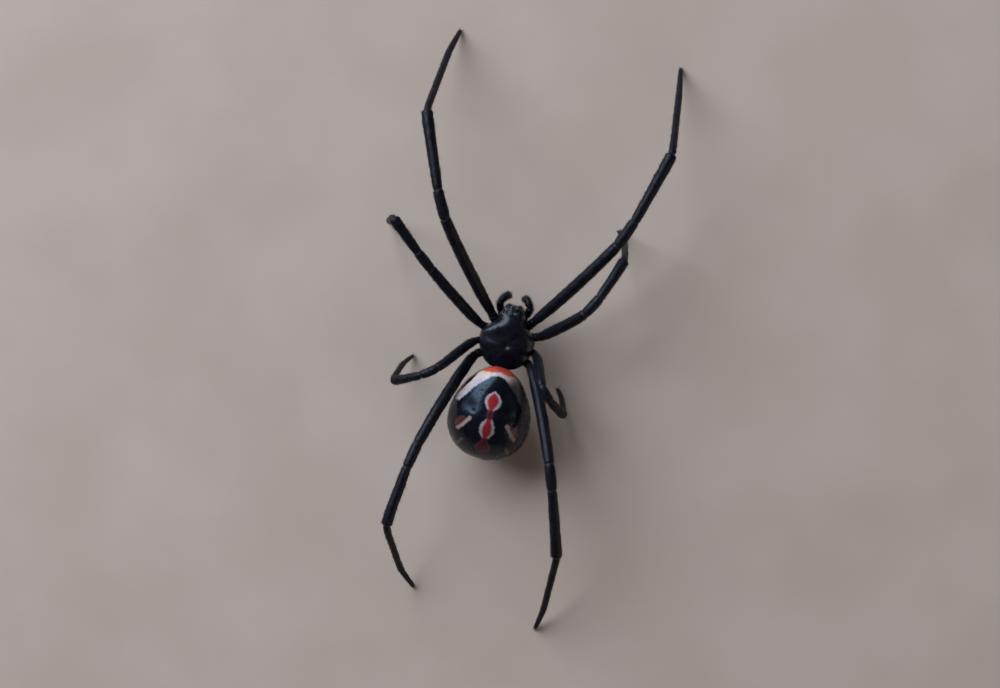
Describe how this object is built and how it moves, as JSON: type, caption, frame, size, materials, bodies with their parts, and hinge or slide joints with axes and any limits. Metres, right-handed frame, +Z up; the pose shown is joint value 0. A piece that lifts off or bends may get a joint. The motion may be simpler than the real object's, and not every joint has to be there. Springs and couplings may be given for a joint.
{
  "type": "black widow spider",
  "caption": "Life-size female black widow spider standing on its leg tips, globose abdomen and small head, legs spread fore and aft.",
  "frame": {"origin": "on the floor under the middle of the leg span's box", "axes": "+Z up; +Y towards the spider's rear, so its head faces -Y; +X towards its left side"},
  "size_m": [0.0154, 0.0342, 0.0067],
  "materials": {
    "carapace_cuticle": "satin black with fine grooves",
    "leg_cuticle": "satin black with a faint purple cast and short hairs",
    "abdomen_cuticle": "glossy black with red and cream marks",
    "eye_lens": "clear gloss",
    "fang_horn": "polished dark red horn",
    "spinneret_cuticle": "matt dark brown"
  },
  "bodies": {
    "root": {"abdomen": "abdomen_cuticle", "carapace": "carapace_cuticle", "chelicera_left": "carapace_cuticle", "chelicera_right": "carapace_cuticle", "eye_front_mid_left": "eye_lens", "eye_front_mid_right": "eye_lens", "eye_front_side_left": "eye_lens", "eye_front_side_right": "eye_lens", "eye_rear_mid_left": "eye_lens", "eye_rear_mid_right": "eye_lens", "eye_rear_side_left": "eye_lens", "eye_rear_side_right": "eye_lens", "fang_left": "fang_horn", "fang_right": "fang_horn", "leg1_left_coxa": "leg_cuticle", "leg1_left_femur": "leg_cuticle", "leg1_left_foot": "leg_cuticle", "leg1_left_patella": "leg_cuticle", "leg1_left_tibia": "leg_cuticle", "leg1_right_coxa": "leg_cuticle", "leg1_right_femur": "leg_cuticle", "leg1_right_foot": "leg_cuticle", "leg1_right_patella": "leg_cuticle", "leg1_right_tibia": "leg_cuticle", "leg2_left_coxa": "leg_cuticle", "leg2_left_femur": "leg_cuticle", "leg2_left_foot": "leg_cuticle", "leg2_left_patella": "leg_cuticle", "leg2_left_tibia": "leg_cuticle", "leg2_right_coxa": "leg_cuticle", "leg2_right_femur": "leg_cuticle", "leg2_right_foot": "leg_cuticle", "leg2_right_patella": "leg_cuticle", "leg2_right_tibia": "leg_cuticle", "leg3_left_coxa": "leg_cuticle", "leg3_left_femur": "leg_cuticle", "leg3_left_foot": "leg_cuticle", "leg3_left_patella": "leg_cuticle", "leg3_left_tibia": "leg_cuticle", "leg3_right_coxa": "leg_cuticle", "leg3_right_femur": "leg_cuticle", "leg3_right_foot": "leg_cuticle", "leg3_right_patella": "leg_cuticle", "leg3_right_tibia": "leg_cuticle", "leg4_left_coxa": "leg_cuticle", "leg4_left_femur": "leg_cuticle", "leg4_left_foot": "leg_cuticle", "leg4_left_patella": "leg_cuticle", "leg4_left_tibia": "leg_cuticle", "leg4_right_coxa": "leg_cuticle", "leg4_right_femur": "leg_cuticle", "leg4_right_foot": "leg_cuticle", "leg4_right_patella": "leg_cuticle", "leg4_right_tibia": "leg_cuticle", "pedicel": "carapace_cuticle", "pedipalp_left": "leg_cuticle", "pedipalp_right": "leg_cuticle", "spinnerets": "spinneret_cuticle", "sternum": "carapace_cuticle"}
  },
  "joints": []
}
